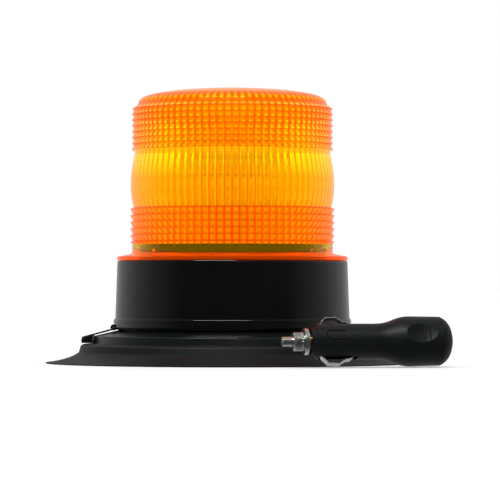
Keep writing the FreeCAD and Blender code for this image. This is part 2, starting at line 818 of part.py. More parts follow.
def build():
    strap = clip_strap()
    toe = clip_toe()
    nodes = {
        "suction_cup": suction_cup(), "mount_ring": mount_ring(), "magnet_pot": magnet_pot(),
        "magnet_ring": magnet_ring(), "pole_piece": pole_piece(), "face_pad": face_pad(),
        "centre_bolt": centre_bolt(), "centre_nut": centre_nut(), "base_housing": base_housing(),
        "base_cover": base_cover(), "cover_screws": cover_screws(), "lens_gasket": lens_gasket(),
        "clip_pins": clip_pins(), "lens": lens(), "led_tower": led_tower(), "tower_cap": tower_cap(),
        "led_board": led_board(), "leds": leds(), "tower_screws": tower_screws(), "led_wires": led_wires(),
        "driver_board": driver_board(), "board_screws": board_screws(), "capacitors": capacitors(),
        "inductor": inductor(), "driver_chips": driver_chips(), "terminal_block": terminal_block(),
        "gland_body": gland_body(), "gland_locknut": gland_locknut(), "gland_nut": gland_nut(),
        "gland_bush": gland_bush(), "clip_strap_right": strap, "clip_toe_right": toe,
        "clip_strap_left": turned_about_z(strap, 180), "clip_toe_left": turned_about_z(toe, 180),
    }
    plug = {
        "plug_shell_front": plug_shell_front(), "plug_shell_rear": plug_shell_rear(),
        "nose_sleeve": nose_sleeve(), "nose_collar": nose_collar(), "nose_cap": nose_cap(),
        "contact_pin": contact_pin(), "fuse_glass": fuse_glass(), "fuse_caps": fuse_caps(),
        "pin_spring": pin_spring(), "spring_seat": spring_seat(), "plug_screws": plug_screws(),
        "plug_bush": plug_bush(), "side_contact_top": side_contact(1), "side_contact_bottom": side_contact(-1),
    }
    for name, shape in plug.items():
        nodes[name] = placed(shape)
    return nodes


os.makedirs("parts", exist_ok=True)
for node, shape in build().items():
    shape.exportStep("parts/" + node + ".step")
    print(node, "solids", len(shape.Solids), "valid", shape.isValid(), "volume", round(shape.Volume, 1))
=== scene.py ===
import json
import math

import bpy
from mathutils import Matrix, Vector


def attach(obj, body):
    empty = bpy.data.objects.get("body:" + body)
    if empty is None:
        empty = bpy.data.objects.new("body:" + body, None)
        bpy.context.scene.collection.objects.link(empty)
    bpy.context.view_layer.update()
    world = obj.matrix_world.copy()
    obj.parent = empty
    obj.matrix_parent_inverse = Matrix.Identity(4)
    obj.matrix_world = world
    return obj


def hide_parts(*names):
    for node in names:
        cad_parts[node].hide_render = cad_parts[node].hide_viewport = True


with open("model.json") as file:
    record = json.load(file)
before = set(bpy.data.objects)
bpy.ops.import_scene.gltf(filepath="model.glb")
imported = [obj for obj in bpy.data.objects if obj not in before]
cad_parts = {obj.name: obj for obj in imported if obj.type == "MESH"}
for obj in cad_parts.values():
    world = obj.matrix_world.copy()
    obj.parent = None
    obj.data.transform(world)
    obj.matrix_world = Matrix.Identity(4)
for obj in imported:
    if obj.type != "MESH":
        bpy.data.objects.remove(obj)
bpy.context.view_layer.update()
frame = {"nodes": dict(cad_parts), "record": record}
print("frame loaded,", len(frame["nodes"]), "nodes")

mm = 0.001
nearlySame = 1e-6   # metres


def deselectAll():
    if bpy.context.mode != "OBJECT":
        bpy.ops.object.mode_set(mode="OBJECT")
    bpy.ops.object.select_all(action="DESELECT")


def settle(piece, name):
    # puts the piece's place into its mesh, so that its object sits at the origin
    deselectAll()
    piece.select_set(True)
    bpy.context.view_layer.objects.active = piece
    bpy.ops.object.transform_apply(location=True, rotation=True, scale=True)
    piece.name = name
    piece.data.name = name
    return piece


def selectFaces(piece, wanted):
    # wanted gets a face's centre and normal; leaves the piece in edit mode
    if bpy.context.mode != "EDIT_MESH":
        bpy.ops.object.mode_set(mode="EDIT")
    bpy.ops.mesh.select_mode(type="FACE")
    bpy.ops.mesh.select_all(action="DESELECT")
    bpy.ops.object.mode_set(mode="OBJECT")
    for face in piece.data.polygons:
        face.select = bool(wanted(face.center, face.normal))
    bpy.ops.object.mode_set(mode="EDIT")


def selectVertices(piece, wanted):
    if bpy.context.mode != "EDIT_MESH":
        bpy.ops.object.mode_set(mode="EDIT")
    bpy.ops.mesh.select_mode(type="VERT")
    bpy.ops.mesh.select_all(action="DESELECT")
    bpy.ops.object.mode_set(mode="OBJECT")
    for vertex in piece.data.vertices:
        vertex.select = bool(wanted(vertex.co))
    bpy.ops.object.mode_set(mode="EDIT")


def pullRings(name, sides, profile, closed=False):
    # a circle pulled ring by ring along (radius, height) steps; the ends are closed to a point, or a
    # closed profile comes back to its first ring
    deselectAll()
    radius, height = profile[0]
    bpy.ops.mesh.primitive_circle_add(vertices=sides, radius=radius, location=(0, 0, height),
                                      rotation=(0, 0, 0))
    piece = settle(bpy.context.object, name)
    bpy.ops.object.mode_set(mode="EDIT")
    bpy.ops.mesh.select_mode(type="VERT")
    bpy.ops.mesh.select_all(action="SELECT")
    for nextRadius, nextHeight in profile[1:]:
        bpy.ops.mesh.extrude_edges_move(TRANSFORM_OT_translate={"value": (0, 0, nextHeight - height)})
        grow = nextRadius / radius
        bpy.ops.transform.resize(value=(grow, grow, 1), center_override=(0, 0, 0))
        radius, height = nextRadius, nextHeight
    if closed:
        bpy.ops.mesh.select_all(action="SELECT")
        bpy.ops.mesh.remove_doubles(threshold=nearlySame)
    for endRadius, endHeight in () if closed else (profile[0], profile[-1]):
        selectVertices(piece, lambda co: abs(co.z - endHeight) < nearlySame and
                       abs(math.hypot(co.x, co.y) - endRadius) < nearlySame)
        bpy.ops.mesh.edge_face_add()
        bpy.ops.mesh.poke()
    bpy.ops.mesh.select_all(action="SELECT")
    bpy.ops.mesh.normals_make_consistent(inside=False)
    bpy.ops.object.mode_set(mode="OBJECT")
    return piece


def smoothByAngle(piece, degrees):
    deselectAll()
    piece.select_set(True)
    bpy.context.view_layer.objects.active = piece
    bpy.ops.object.shade_smooth_by_angle(angle=math.radians(degrees))


def arcPoints(first, middle, last, count):
    # points on a gentle curve through three points, without the first
    points = []
    for step in range(1, count + 1):
        t = step / count
        a, b, c = (1 - t) * (1 - 2 * t), 4 * t * (1 - t), t * (2 * t - 1)
        points.append(tuple(a * p + b * q + c * r for p, q, r in zip(first, middle, last)))
    return points


def startGroup(name, inputs, outputs):
    group = bpy.data.node_groups.new(name, "ShaderNodeTree")
    for label, kind, value in inputs:
        socket = group.interface.new_socket(name=label, in_out="INPUT", socket_type=kind)
        socket.default_value = value
    for label, kind in outputs:
        group.interface.new_socket(name=label, in_out="OUTPUT", socket_type=kind)
    return group, group.nodes.new("NodeGroupInput"), group.nodes.new("NodeGroupOutput")


def feed(tree, value, socket):
    # value is a number, a color or another node's output
    if isinstance(value, (int, float, tuple)):
        socket.default_value = value
    else:
        tree.links.new(value, socket)


def addMath(tree, operation, first, second=None, third=None, clamp=False):
    node = tree.nodes.new("ShaderNodeMath")
    node.operation = operation
    node.use_clamp = clamp
    for index, value in enumerate((first, second, third)):
        if value is not None:
            feed(tree, value, node.inputs[index])
    return node.outputs[0]


def addMix(tree, factor, first, second):
    node = tree.nodes.new("ShaderNodeMix")
    node.data_type = "RGBA"
    feed(tree, factor, node.inputs[0])
    feed(tree, first, node.inputs[6])
    feed(tree, second, node.inputs[7])
    return node.outputs[2]


def addFloatMix(tree, factor, first, second):
    node = tree.nodes.new("ShaderNodeMix")
    node.data_type = "FLOAT"
    feed(tree, factor, node.inputs[0])
    feed(tree, first, node.inputs[2])
    feed(tree, second, node.inputs[3])
    return node.outputs[0]


def addRange(tree, value, low, high, toLow, toHigh):
    node = tree.nodes.new("ShaderNodeMapRange")
    feed(tree, value, node.inputs["Value"])
    feed(tree, low, node.inputs["From Min"])
    feed(tree, high, node.inputs["From Max"])
    feed(tree, toLow, node.inputs["To Min"])
    feed(tree, toHigh, node.inputs["To Max"])
    return node.outputs["Result"]


def addNoise(tree, vector, scale, detail=2.0, roughness=0.5):
    node = tree.nodes.new("ShaderNodeTexNoise")
    feed(tree, vector, node.inputs["Vector"])
    feed(tree, scale, node.inputs["Scale"])
    node.inputs["Detail"].default_value = detail
    node.inputs["Roughness"].default_value = roughness
    return node.outputs["Fac"]


def buildMoulded():
    group, start, end = startGroup(
        "mouldedPlastic",
        [("Color", "NodeSocketColor", (0.02, 0.02, 0.02, 1)),
         ("Patch Color", "NodeSocketColor", (0.03, 0.03, 0.03, 1)),
         ("Patch Scale", "NodeSocketFloat", 18.0), ("Grain Scale", "NodeSocketFloat", 900.0),
         ("Smooth Roughness", "NodeSocketFloat", 0.2), ("Dull Roughness", "NodeSocketFloat", 0.4)],
        [("Color", "NodeSocketColor"), ("Roughness", "NodeSocketFloat"), ("Height", "NodeSocketFloat")])
    place = group.nodes.new("ShaderNodeTexCoord").outputs["Object"]
    patches = addNoise(group, place, start.outputs["Patch Scale"], 4.0, 0.6)
    grain = addNoise(group, place, start.outputs["Grain Scale"], 2.0, 0.6)
    spread = addRange(group, patches, 0.35, 0.65, 0.0, 1.0)
    color = addMix(group, spread, start.outputs["Color"], start.outputs["Patch Color"])
    group.links.new(color, end.inputs["Color"])
    rough = addRange(group, patches, 0.3, 0.7, start.outputs["Smooth Roughness"],
                     start.outputs["Dull Roughness"])
    fine = addRange(group, grain, 0.0, 1.0, -0.03, 0.03)
    group.links.new(addMath(group, "ADD", rough, fine, clamp=True), end.inputs["Roughness"])
    group.links.new(grain, end.inputs["Height"])
    return group


def buildHandling():
    # thin scratches in a few directions, and a little dust on what faces up
    group, start, end = startGroup(
        "handlingMarks",
        [("Scratch Amount", "NodeSocketFloat", 0.3), ("Dust Amount", "NodeSocketFloat", 0.2)],
        [("Scratches", "NodeSocketFloat"), ("Dust", "NodeSocketFloat")])
    coordinates = group.nodes.new("ShaderNodeTexCoord")
    place = coordinates.outputs["Object"]
    marks = None
    for angle, stretch in ((0.4, 26.0), (1.9, 34.0), (2.7, 22.0)):
        mapping = group.nodes.new("ShaderNodeMapping")
        mapping.inputs["Rotation"].default_value = (0.5 * angle, 0.3, angle)
        mapping.inputs["Scale"].default_value = (stretch, 1.0, stretch)
        group.links.new(place, mapping.inputs["Vector"])
        lines = addNoise(group, mapping.outputs["Vector"], 34.0, 1.0)
        thin = addRange(group, lines, 0.72, 0.78, 0.0, 1.0)
        marks = thin if marks is None else addMath(group, "MAXIMUM", marks, thin)
    where = addRange(group, addNoise(group, place, 22.0, 2.0), 0.5, 0.65, 0.0, 1.0)
    marks = addMath(group, "MULTIPLY", marks, where)
    scratches = addMath(group, "MULTIPLY", marks, start.outputs["Scratch Amount"])
    group.links.new(scratches, end.inputs["Scratches"])
    upward = group.nodes.new("ShaderNodeSeparateXYZ")
    group.links.new(coordinates.outputs["Normal"], upward.inputs[0])
    lying = addRange(group, upward.outputs["Z"], 0.3, 1.0, 0.0, 1.0)
    specks = addRange(group, addNoise(group, place, 260.0, 3.0, 0.7), 0.45, 0.75, 0.0, 1.0)
    dust = addMath(group, "MULTIPLY", addMath(group, "MULTIPLY", lying, specks),
                   start.outputs["Dust Amount"])
    group.links.new(dust, end.inputs["Dust"])
    return group


def buildMetal():
    group, start, end = startGroup(
        "platedMetal",
        [("Color", "NodeSocketColor", (0.7, 0.7, 0.7, 1)),
         ("Stain Color", "NodeSocketColor", (0.5, 0.5, 0.5, 1)),
         ("Line Scale", "NodeSocketFloat", 300.0), ("Smooth Roughness", "NodeSocketFloat", 0.15),
         ("Dull Roughness", "NodeSocketFloat", 0.35)],
        [("Color", "NodeSocketColor"), ("Roughness", "NodeSocketFloat"), ("Height", "NodeSocketFloat")])
    place = group.nodes.new("ShaderNodeTexCoord").outputs["Object"]
    mapping = group.nodes.new("ShaderNodeMapping")
    mapping.inputs["Scale"].default_value = (1.0, 1.0, 9.0)
    group.links.new(place, mapping.inputs["Vector"])
    lines = addNoise(group, mapping.outputs["Vector"], start.outputs["Line Scale"], 2.0)
    stains = addNoise(group, place, 120.0, 4.0, 0.6)
    spread = addRange(group, stains, 0.42, 0.7, 0.0, 1.0)
    color = addMix(group, spread, start.outputs["Color"], start.outputs["Stain Color"])
    group.links.new(color, end.inputs["Color"])
    mixed = addMath(group, "MULTIPLY_ADD", lines, 0.5, addMath(group, "MULTIPLY", stains, 0.5))
    rough = addRange(group, mixed, 0.3, 0.7, start.outputs["Smooth Roughness"],
                     start.outputs["Dull Roughness"])
    group.links.new(rough, end.inputs["Roughness"])
    group.links.new(lines, end.inputs["Height"])
    return group


def lineNear(group, place, width):
    # 1 where place is a whole number, down to 0 at width from it
    away = addMath(group, "PINGPONG", place, 0.5)
    return away, addMath(group, "SUBTRACT", 1.0, addMath(group, "DIVIDE", away, width), clamp=True)


def buildPrisms():
    # masks for the painted shade lines where the inner flutes meet and where the outer rings meet, and for
    # the painted highlight spots between them
    wholeTurns, wholeRings = 1000.0, 100.0   # added so that the counts stay positive
    beadAcross, beadUpright = 3.2, 4.0
    group, start, end = startGroup(
        "prismGrid",
        [("Count", "NodeSocketFloat", 84.0), ("Seam Width", "NodeSocketFloat", 0.14),
         ("Ring Start", "NodeSocketFloat", 0.0), ("Ring Pitch", "NodeSocketFloat", 0.004),
         ("Ring Width", "NodeSocketFloat", 0.2), ("Bead Height", "NodeSocketFloat", 0.3)],
        [("Seam", "NodeSocketFloat"), ("Ring", "NodeSocketFloat"), ("Bead Highlight", "NodeSocketFloat"),
         ("Side", "NodeSocketFloat")])
    place = group.nodes.new("ShaderNodeTexCoord").outputs["Object"]
    parts = group.nodes.new("ShaderNodeSeparateXYZ")
    group.links.new(place, parts.inputs[0])
    angle = addMath(group, "ARCTAN2", parts.outputs["Y"], parts.outputs["X"])
    turns = addMath(group, "DIVIDE", angle, 2 * math.pi)
    counted = addMath(group, "ADD", addMath(group, "MULTIPLY", turns, start.outputs["Count"]), wholeTurns)
    fromSeam, paintedShade = lineNear(group, counted, start.outputs["Seam Width"])
    climbed = addMath(group, "SUBTRACT", parts.outputs["Z"], start.outputs["Ring Start"])
    level = addMath(group, "DIVIDE", climbed, start.outputs["Ring Pitch"])
    stacked = addMath(group, "ADD", level, wholeRings)
    ring = lineNear(group, stacked, start.outputs["Ring Width"])[1]
    aside = addMath(group, "MULTIPLY", addMath(group, "SUBTRACT", 0.5, fromSeam), beadAcross)
    offBead = addMath(group, "SUBTRACT", addMath(group, "FRACT", stacked), start.outputs["Bead Height"])
    above = addMath(group, "MULTIPLY", addMath(group, "ABSOLUTE", offBead), beadUpright)
    squares = addMath(group, "ADD", addMath(group, "MULTIPLY", aside, aside),
                      addMath(group, "MULTIPLY", above, above))
    reach = addMath(group, "SQRT", squares)
    group.links.new(paintedShade, end.inputs["Seam"])
    group.links.new(ring, end.inputs["Ring"])
    group.links.new(addRange(group, reach, 0.45, 1.0, 1.0, 0.0), end.inputs["Bead Highlight"])
    group.links.new(addMath(group, "FRACT", counted), end.inputs["Side"])
    return group


mouldedPlastic = buildMoulded()
handlingMarks = buildHandling()
platedMetal = buildMetal()
prismGrid = buildPrisms()
print("shader groups built")


def startMaterial(name):
    material = bpy.data.materials.new(name)
    material.use_nodes = True
    tree = material.node_tree
    shader = tree.nodes["Principled BSDF"]
    return material, tree, shader


def addGroup(tree, group, values):
    node = tree.nodes.new("ShaderNodeGroup")
    node.node_tree = group
    for label, value in values.items():
        node.inputs[label].default_value = value
    return node


def addBump(tree, shader, height, strength, distance):
    bump = tree.nodes.new("ShaderNodeBump")
    bump.inputs["Strength"].default_value = strength
    bump.inputs["Distance"].default_value = distance
    tree.links.new(height, bump.inputs["Height"])
    tree.links.new(bump.outputs["Normal"], shader.inputs["Normal"])


handling = {"scratchColor": (0.16, 0.16, 0.16, 1), "dustColor": (0.32, 0.31, 0.29, 1)}


def mouldedMaterial(name, color, patch, rough, grain=900.0, bump=0.08, scratches=0.25, dust=0.1,
                    coat=0.0, patchScale=18.0, specular=0.5):
    # rough is (smooth, dull); grain and patchScale are per metre
    material, tree, shader = startMaterial(name)
    body = addGroup(tree, mouldedPlastic, {
        "Color": (*color, 1), "Patch Color": (*patch, 1), "Patch Scale": patchScale, "Grain Scale": grain,
        "Smooth Roughness": rough[0], "Dull Roughness": rough[1]})
    marks = addGroup(tree, handlingMarks, {"Scratch Amount": scratches, "Dust Amount": dust})
    worn = addMix(tree, marks.outputs["Scratches"], body.outputs["Color"], handling["scratchColor"])
    dusty = addMix(tree, marks.outputs["Dust"], worn, handling["dustColor"])
    tree.links.new(dusty, shader.inputs["Base Color"])
    rougher = addMath(tree, "MULTIPLY_ADD", marks.outputs["Scratches"], 0.3, body.outputs["Roughness"],
                      clamp=True)
    tree.links.new(addMath(tree, "MULTIPLY_ADD", marks.outputs["Dust"], 0.4, rougher, clamp=True),
                   shader.inputs["Roughness"])
    shader.inputs["Specular IOR Level"].default_value = specular
    if coat:
        shader.inputs["Coat Weight"].default_value = coat
        shader.inputs["Coat Roughness"].default_value = 0.06
    addBump(tree, shader, body.outputs["Height"], bump, 0.2 * mm)
    return material


def metalMaterial(name, color, stain, rough, lines=300.0, bump=0.06):
    material, tree, shader = startMaterial(name)
    body = addGroup(tree, platedMetal, {
        "Color": (*color, 1), "Stain Color": (*stain, 1), "Line Scale": lines,
        "Smooth Roughness": rough[0], "Dull Roughness": rough[1]})
    shader.inputs["Metallic"].default_value = 1.0
    tree.links.new(body.outputs["Color"], shader.inputs["Base Color"])
    tree.links.new(body.outputs["Roughness"], shader.inputs["Roughness"])
    addBump(tree, shader, body.outputs["Height"], bump, 0.1 * mm)
    return material


lensPlastic = {
    "flutes": 84, "ior": 1.49, "reflection": 0.01, "reflectionTint": (1.0, 0.3, 0.0, 1), "cloudShade": 0.88,
    "cloudScale": 14.0, "wearScale": 160.0, "wearRoughness": 0.06,
}


def lensMaterial(name, color, paintedShade, paintedLight, rings, transmission, rough, paintedGlow, seamShadeAmount=0.0,
                 ringShadeAmount=0.0, beadHighlightAmount=0.0, sidePaintedLight=0.0, seamWidth=0.2, paintedTopLight=None):
    # rings is (start, pitch, line width, bead height), in metres and in shares of the pitch;
    # the top light value is (from height, to height, amount) of the lighter color: painted light that
    # lightens the lens towards the top of that span
    s = lensPlastic
    material, tree, shader = startMaterial(name)
    start, pitch, lineWidth, beadHeight = rings
    grid = addGroup(tree, prismGrid, {
        "Count": s["flutes"], "Seam Width": seamWidth, "Ring Start": start, "Ring Pitch": pitch,
        "Ring Width": lineWidth, "Bead Height": beadHeight})

    def tinted(body, pattern, amount, tint):
        share = addMath(tree, "MULTIPLY", grid.outputs[pattern], amount)
        return addMix(tree, share, body, (*tint, 1))

    place = tree.nodes.new("ShaderNodeTexCoord").outputs["Object"]
    cloud = addRange(tree, addNoise(tree, place, s["cloudScale"], 3.0), 0.35, 0.65, 0.0, 0.25)
    shaded = tuple(s["cloudShade"] * channel for channel in color)
    body = addMix(tree, cloud, (*color, 1), (*shaded, 1))
    # painted light: each flute is lighter towards one side, as refraction lights it
    body = tinted(body, "Side", sidePaintedLight, paintedLight)
    # painted light: lighter towards the top of the given span
    if paintedTopLight:
        fromHeight, toHeight, amount = paintedTopLight
        height = tree.nodes.new("ShaderNodeSeparateXYZ")
        tree.links.new(place, height.inputs[0])
        lift = addRange(tree, height.outputs["Z"], fromHeight, toHeight, 0.0, amount)
        body = addMix(tree, lift, body, (*paintedLight, 1))
    # painted highlight: lighter spots at each tooth tip
    body = tinted(body, "Bead Highlight", beadHighlightAmount, paintedLight)
    # painted shade: darker lines under each ring tooth and along each flute crease
    body = tinted(body, "Ring", ringShadeAmount, paintedShade)
    body = tinted(body, "Seam", seamShadeAmount, paintedShade)
    tree.links.new(body, shader.inputs["Base Color"])
    wear = addNoise(tree, place, s["wearScale"], 3.0)
    tree.links.new(addRange(tree, wear, 0.3, 0.7, rough, rough + s["wearRoughness"]),
                   shader.inputs["Roughness"])
    shader.inputs["Transmission Weight"].default_value = transmission
    shader.inputs["IOR"].default_value = s["ior"]
    shader.inputs["Specular IOR Level"].default_value = s["reflection"]
    shader.inputs["Specular Tint"].default_value = s["reflectionTint"]
    # painted glow: the lens gives off its own painted colour as light, standing in for light passing through
    # the amber
    tree.links.new(body, shader.inputs["Emission Color"])
    shader.inputs["Emission Strength"].default_value = paintedGlow
    addBump(tree, shader, wear, 0.03, 0.2 * mm)
    return material


# the dark colour of the painted shade lines, and the light colour of the painted light and painted highlights
ringAmber = {"paintedShade": (0.66, 0.045, 0.0), "paintedLight": (1.0, 0.72, 0.0)}
barrelAmber = {"paintedShade": (0.85, 0.12, 0.0), "paintedLight": (1.0, 0.80, 0.01)}
plainRings = (0.0, 0.004, 0.1, 0.3)
# each zone's colour is partly painted light: the one amber is shown redder at the flange and crown edge and
# yellower at the neck and barrel, for how light passes through it there
lensValues = {
    "upperRings": dict(color=(1.0, 0.27, 0.0), rings=(0.1298, 0.00356, 0.24, 0.22), transmission=0.85,
                       rough=0.03, paintedGlow=0.28, seamShadeAmount=0.75, ringShadeAmount=0.7, beadHighlightAmount=0.9,
                       seamWidth=0.24, **ringAmber),
    "lowerRings": dict(color=(1.0, 0.3, 0.0), rings=(0.0741, 0.004, 0.2, 0.6), transmission=0.85,
                       rough=0.03, paintedGlow=0.3, seamShadeAmount=0.9, ringShadeAmount=0.7, beadHighlightAmount=0.25,
                       seamWidth=0.26, **ringAmber),
    "barrel": dict(color=(1.0, 0.40, 0.0), rings=plainRings, transmission=0.97, rough=0.01, paintedGlow=0.28,
                   seamShadeAmount=0.9, sidePaintedLight=0.5, seamWidth=0.17, paintedTopLight=(0.112, 0.13, 1.0),
                   **barrelAmber),
    "neck": dict(color=(1.0, 0.68, 0.0), rings=plainRings, transmission=1.0, rough=0.01, paintedGlow=0.06,
                 **ringAmber),
    "flange": dict(color=(1.0, 0.10, 0.0), rings=plainRings, transmission=0.9, rough=0.06, paintedGlow=0.3,
                   **ringAmber),
    "crown": dict(color=(1.0, 0.36, 0.0), rings=plainRings, transmission=0.85, rough=0.04, paintedGlow=0.25,
                  **ringAmber),
    "crownEdge": dict(color=(1.0, 0.20, 0.0), rings=(0.1564, 0.0075, 0.16, 0.5), transmission=0.85,
                      rough=0.04, paintedGlow=0.25, seamShadeAmount=0.45, beadHighlightAmount=0.9, seamWidth=0.3,
                      **ringAmber),
    "inside": dict(color=(1.0, 0.8, 0.04), rings=plainRings, transmission=1.0, rough=0.01, paintedGlow=0.0,
                   **ringAmber),
}
lensLooks = {zone: lensMaterial("amber" + zone[0].upper() + zone[1:], **values)
             for zone, values in lensValues.items()}

mouldedValues = {
    "drumBlack": dict(color=(0.0022, 0.0022, 0.0022), patch=(0.0032, 0.0032, 0.0031), rough=(0.10, 0.16),
                      grain=420.0, bump=0.02, scratches=0.12, dust=0.02),
    "mountBlack": dict(color=(0.003, 0.0058, 0.0062), patch=(0.0045, 0.0075, 0.008), rough=(0.28, 0.38),
                       grain=1100.0, bump=0.10, scratches=0.1, dust=0.015, specular=0.35),
    "skirtRubber": dict(color=(0.0028, 0.0056, 0.006), patch=(0.0042, 0.0072, 0.0078), rough=(0.5, 0.62),
                        grain=1400.0, bump=0.12, scratches=0.08, dust=0.01, specular=0.3),
    "sealRubber": dict(color=(0.02, 0.02, 0.02), patch=(0.028, 0.028, 0.028), rough=(0.6, 0.75),
                       grain=1600.0, bump=0.2, scratches=0.0, dust=0.15),
    "clipSteel": dict(color=(0.014, 0.014, 0.015), patch=(0.02, 0.02, 0.021), rough=(0.22, 0.34),
                      grain=800.0, bump=0.06, scratches=0.6, dust=0.05),
    "ferrite": dict(color=(0.05, 0.05, 0.055), patch=(0.07, 0.07, 0.075), rough=(0.5, 0.7),
                    grain=700.0, bump=0.3),
    "towerWhite": dict(color=(0.78, 0.77, 0.73), patch=(0.84, 0.83, 0.8), rough=(0.3, 0.42),
                       bump=0.06, scratches=0.0, dust=0.05),
    "boardWhite": dict(color=(0.74, 0.73, 0.68), patch=(0.8, 0.79, 0.76), rough=(0.3, 0.4),
                       grain=700.0, bump=0.05, scratches=0.0, dust=0.0, patchScale=200.0),
    "boardGreen": dict(color=(0.012, 0.12, 0.045), patch=(0.02, 0.2, 0.07), rough=(0.25, 0.35),
                       grain=600.0, bump=0.15, scratches=0.0, dust=0.05, patchScale=240.0),
    "ledYellow": dict(color=(0.68, 0.28, 0.02), patch=(0.8, 0.38, 0.04), rough=(0.12, 0.2),
                      bump=0.04, scratches=0.0, dust=0.0, coat=0.5, patchScale=600.0),
    "chipBlack": dict(color=(0.02, 0.02, 0.02), patch=(0.03, 0.03, 0.03), rough=(0.45, 0.6),
                      grain=1500.0, bump=0.2),
    "terminalGreen": dict(color=(0.02, 0.22, 0.06), patch=(0.03, 0.28, 0.08), rough=(0.3, 0.45)),
    "wireRed": dict(color=(0.45, 0.02, 0.015), patch=(0.55, 0.03, 0.02), rough=(0.3, 0.45)),
    "glandNylon": dict(color=(0.018, 0.018, 0.019), patch=(0.026, 0.026, 0.027), rough=(0.3, 0.45),
                       grain=1000.0, bump=0.12, scratches=0.2, dust=0.12),
    "plugBlack": dict(color=(0.003, 0.005, 0.0055), patch=(0.005, 0.007, 0.0075), rough=(0.38, 0.5),
                      grain=1800.0, bump=0.25, scratches=0.1, dust=0.02, specular=0.25),
}
metalValues = {
    "zincSteel": dict(color=(0.6, 0.61, 0.62), stain=(0.42, 0.42, 0.4), rough=(0.22, 0.42)),
    "canAluminium": dict(color=(0.72, 0.73, 0.75), stain=(0.6, 0.6, 0.6), rough=(0.2, 0.35), lines=500.0),
    "coilCopper": dict(color=(0.7, 0.32, 0.16), stain=(0.4, 0.16, 0.08), rough=(0.25, 0.4), lines=800.0,
                       bump=0.3),
    "nickel": dict(color=(0.72, 0.73, 0.70), stain=(0.5, 0.5, 0.47), rough=(0.2, 0.34), lines=420.0),
    "brass": dict(color=(0.72, 0.5, 0.2), stain=(0.45, 0.3, 0.1), rough=(0.2, 0.4), lines=420.0),
}


def glassMaterial(name):
    material, tree, shader = startMaterial(name)
    shader.inputs["Transmission Weight"].default_value = 0.95
    shader.inputs["Base Color"].default_value = (0.9, 0.95, 0.95, 1)
    place = tree.nodes.new("ShaderNodeTexCoord").outputs["Object"]
    smears = addRange(tree, addNoise(tree, place, 300.0), 0.3, 0.7, 0.02, 0.12)
    tree.links.new(smears, shader.inputs["Roughness"])
    return material


looks = {name: mouldedMaterial(name, **values) for name, values in mouldedValues.items()}
looks.update({name: metalMaterial(name, **values) for name, values in metalValues.items()})
looks["fuseGlass"] = glassMaterial("fuseGlass")
print("materials built")

# the look that each of the record's material slots gets; the lens is made anew below
slotLooks = {
    "drum_black": "drumBlack", "mount_black": "mountBlack", "skirt_rubber": "skirtRubber",
    "seal_rubber": "sealRubber", "zinc_steel": "zincSteel", "black_steel": "clipSteel", "ferrite": "ferrite",
    "tower_white": "towerWhite", "white_board": "boardWhite", "circuit_board": "boardGreen",
    "led_yellow": "ledYellow", "capacitor_can": "canAluminium", "coil_copper": "coilCopper",
    "chip_black": "chipBlack",
    "terminal_green": "terminalGreen", "wire_red": "wireRed", "gland_plastic": "glandNylon",
    "plug_plastic": "plugBlack", "nickel": "nickel", "brass": "brass", "fuse_glass": "fuseGlass",
    "lens_amber": None,
}
for part in frame["record"]["subparts"]:
    look = slotLooks[part["material_slot"]]
    if look:
        node = frame["nodes"][part["node"]]
        node.data.materials.clear()
        node.data.materials.append(looks[look])


# millimetres and degrees; points are (radius, height), and the dome's are (radius, drop from the top)
lensSizes = {
    "flutes": 84, "columnsPerFlute": 4, "fluteDepth": 1.0, "fluteShoulder": 0.22, "fluteBase": 58.0,
    "fluteZ": (73.0, 157.5),
    "topZ": 167.1, "wall": 2.6,
    "dome": ((1.5, 0.0), (12.9, 0.08), (25.8, 0.56), (37.4, 1.49)),
    "domeEdge": ((47.5, 164.1), (54.9, 161.7), (57.4, 158.4)), "domeSeat": (58.1, 157.0),
    "upperTip": 61.3, "upperValley": 60.0, "upperFirstZ": 129.8, "upperPitch": 3.56, "upperRings": 8,
    "barrel": ((59.5, 128.1), (62.05, 110.5), (60.4, 94.9)),
    "lowerTip": 62.3, "lowerValley": 60.7, "lowerFirstZ": 74.1, "lowerPitch": 4.0, "lowerRings": 6,
    "tipWidth": 0.1, "tipRise": 0.12,
    "bandRadius": 61.1, "bandTopZ": 72.2, "flangeTopZ": 64.9, "flangeRadius": 70.3, "flangeEdge": 0.4,
    "bandFoot": ((0.0, 3.0), (0.35, 2.0), (1.5, 1.5)), "baseZ": 62.8,
    "bore": 58.3, "boreStepsZ": (72.4, 73.0, 84.0, 95.0),
    "innerBarrel": ((58.3, 95.0), (59.2, 110.5), (57.2, 128.1)),
    "innerUpper": ((57.2, 141.0), (57.2, 154.0), (56.4, 156.0), (54.9, 157.4), (53.0, 159.2)),
    "innerEdge": ((53.0, 159.2), (50.2, 160.8), (46.8, 161.6)),
    "innerDome": ((36.9, 1.45), (25.6, 0.65), (12.9, 0.1), (1.5, 0.0)),
    "lugZ": (66.4, 69.0), "lugDepth": 2.0, "lugHalfAngle": 6.0, "lugAngles": (90.0, 210.0, 330.0),
    "innerReach": ((157.0, 55.5), (127.0, 57.9), (95.5, 59.3), (0.0, 58.9)), "insideTopZ": 157.0,
    "smoothAngle": 30,
}
# the look of the outside from the flange up, and the height where each ends
zoneTops = (("flange", 67.2), ("neck", 72.4), ("lowerRings", 94.6), ("barrel", 129.7), ("upperRings", 156.4),
            ("crownEdge", 163.4), ("crown", 200.0))


